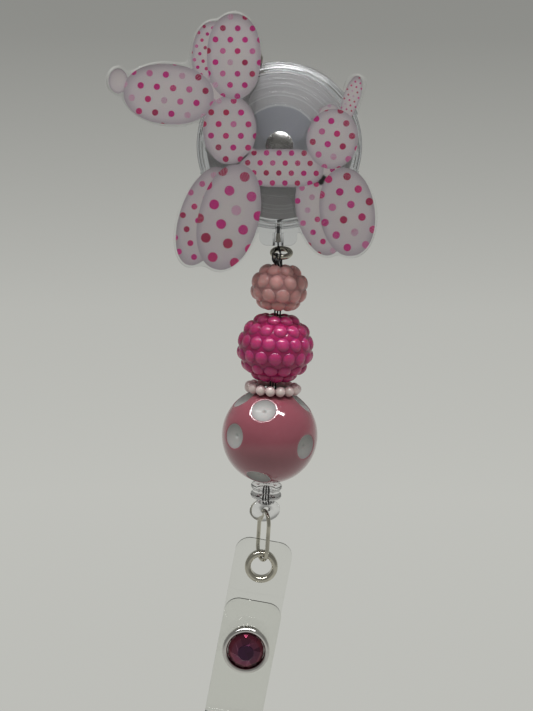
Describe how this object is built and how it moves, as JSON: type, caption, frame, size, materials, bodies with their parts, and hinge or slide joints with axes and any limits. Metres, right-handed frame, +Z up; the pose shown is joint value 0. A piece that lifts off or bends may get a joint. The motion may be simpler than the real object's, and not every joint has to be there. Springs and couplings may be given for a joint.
{
  "type": "retractable badge reel",
  "caption": "Clear retractable badge reel with a balloon-dog topper, a pendant of beads, a snap strap with a gem cap and a swivel garment clip.",
  "frame": {"origin": "on the rivet's axis, at the reel's rear face, where the reel turns on its garment clip", "axes": "+Z up with the pendant hanging down, -Y the front with the topper, +X to the right seen from the front"},
  "size_m": [0.0521, 0.0242, 0.1451],
  "materials": {
    "clear_case": "clear, glossy",
    "frosted_plastic": "frosted",
    "spring_steel": "oiled",
    "black_cord": "braided",
    "nickel": "polished nickel",
    "adhesive": "clear foam tape",
    "clear_acrylic": "polished",
    "printed_film": "printed dots",
    "pink_resin": "glossy resin",
    "magenta_resin": "glossy resin",
    "pearl": "pearlescent",
    "pink_acrylic": "glossy",
    "clear_bead": "polished",
    "clear_vinyl": "clear, flexible",
    "chrome_bezel": "polished",
    "purple_gem": "foil-backed, faceted"
  },
  "bodies": {
    "clip": {"clip_base": "nickel", "clip_pin": "nickel", "centre_rivet": "nickel", "swivel_washer": "nickel", "clip_spring": "spring_steel"},
    "clip_lever": {"clip_lever": "nickel"},
    "reel": {"rear_case": "clear_case", "front_cover": "clear_case", "mainspring": "spring_steel", "cord_run": "black_cord", "adhesive_pad": "adhesive", "topper_acrylic": "clear_acrylic", "topper_print": "printed_film", "topper_dome": "clear_acrylic"},
    "spool": {"spool": "frosted_plastic", "wound_cord": "black_cord"},
    "cord_end": {"cord_ferrule": "nickel", "jump_ring": "nickel"},
    "bead_string": {"bead_cord": "black_cord", "end_loop": "clear_bead"},
    "pink_bead": {"pink_bead": "pink_resin"},
    "magenta_bead": {"magenta_bead": "magenta_resin"},
    "pearl_spacer": {"pearl_spacer": "pearl"},
    "polka_bead": {"polka_bead": "pink_acrylic"},
    "rondelle": {"clear_rondelle": "clear_bead"},
    "link": {"oval_link": "nickel"},
    "strap": {"strap": "clear_vinyl", "eyelet": "nickel", "eyelet_washer": "nickel", "snap_stud": "nickel", "snap_post": "nickel"},
    "flap": {"strap_flap": "clear_vinyl", "snap_cap": "chrome_bezel", "snap_gem": "purple_gem", "snap_socket": "nickel"}
  },
  "joints": [
    {"name": "clip_swivel", "type": "hinge", "parent": "clip", "child": "reel", "pos_m": [0, 0, 0], "axis": [0, 1, 0], "continuous": true},
    {"name": "clip_open", "type": "hinge", "parent": "clip", "child": "clip_lever", "pos_m": [-0.00409, 0.0044, 0.00802], "axis": [-0.891, 0, -0.454], "range_deg": [0, 20], "stiffness_Nm_per_rad": 0.03, "springref_deg": -34.38},
    {"name": "cord_pull", "type": "slide", "parent": "reel", "child": "cord_end", "axis": [0, 0, -1], "range_m": [0, 0.6], "stiffness_N_per_m": 1, "springref_m": -0.6},
    {"name": "spool_turn", "type": "hinge", "parent": "reel", "child": "spool", "pos_m": [0, 0, 0], "axis": [0, 1, 0], "range_deg": [-5, 3400]},
    {"name": "string_swing", "type": "hinge", "parent": "cord_end", "child": "bead_string", "pos_m": [0.0007, -0.00475, -0.0212], "axis": [0, 1, 0], "range_deg": [-43, 37]},
    {"name": "link_swing", "type": "hinge", "parent": "bead_string", "child": "link", "pos_m": [-0.00211, -0.00475, -0.07488], "axis": [0.3746, -0.9272, 0], "range_deg": [-40, 40]},
    {"name": "strap_swing", "type": "hinge", "parent": "link", "child": "strap", "pos_m": [-0.00266, -0.00475, -0.08531], "axis": [0.3746, -0.9272, 0], "range_deg": [-40, 40]},
    {"name": "flap_open", "type": "hinge", "parent": "strap", "child": "flap", "pos_m": [-0.00821, -0.00755, -0.11778], "axis": [0.9848, 0, -0.1736], "range_deg": [0, 150]},
    {"name": "pink_bead_spin", "type": "hinge", "parent": "bead_string", "child": "pink_bead", "pos_m": [0.0007, -0.00475, -0.0212], "axis": [0.0523, 0, 0.9986], "continuous": true},
    {"name": "magenta_bead_spin", "type": "hinge", "parent": "bead_string", "child": "magenta_bead", "pos_m": [0.0007, -0.00475, -0.0212], "axis": [0.0523, 0, 0.9986], "continuous": true},
    {"name": "pearl_spacer_spin", "type": "hinge", "parent": "bead_string", "child": "pearl_spacer", "pos_m": [0.0007, -0.00475, -0.0212], "axis": [0.0523, 0, 0.9986], "continuous": true},
    {"name": "polka_bead_spin", "type": "hinge", "parent": "bead_string", "child": "polka_bead", "pos_m": [0.0007, -0.00475, -0.0212], "axis": [0.0523, 0, 0.9986], "continuous": true},
    {"name": "rondelle_spin", "type": "hinge", "parent": "bead_string", "child": "rondelle", "pos_m": [0.0007, -0.00475, -0.0212], "axis": [0.0523, 0, 0.9986], "continuous": true}
  ],
  "couplings": [
    {"joint": "spool_turn", "follows": "cord_pull", "rad_per_m": 98}
  ]
}
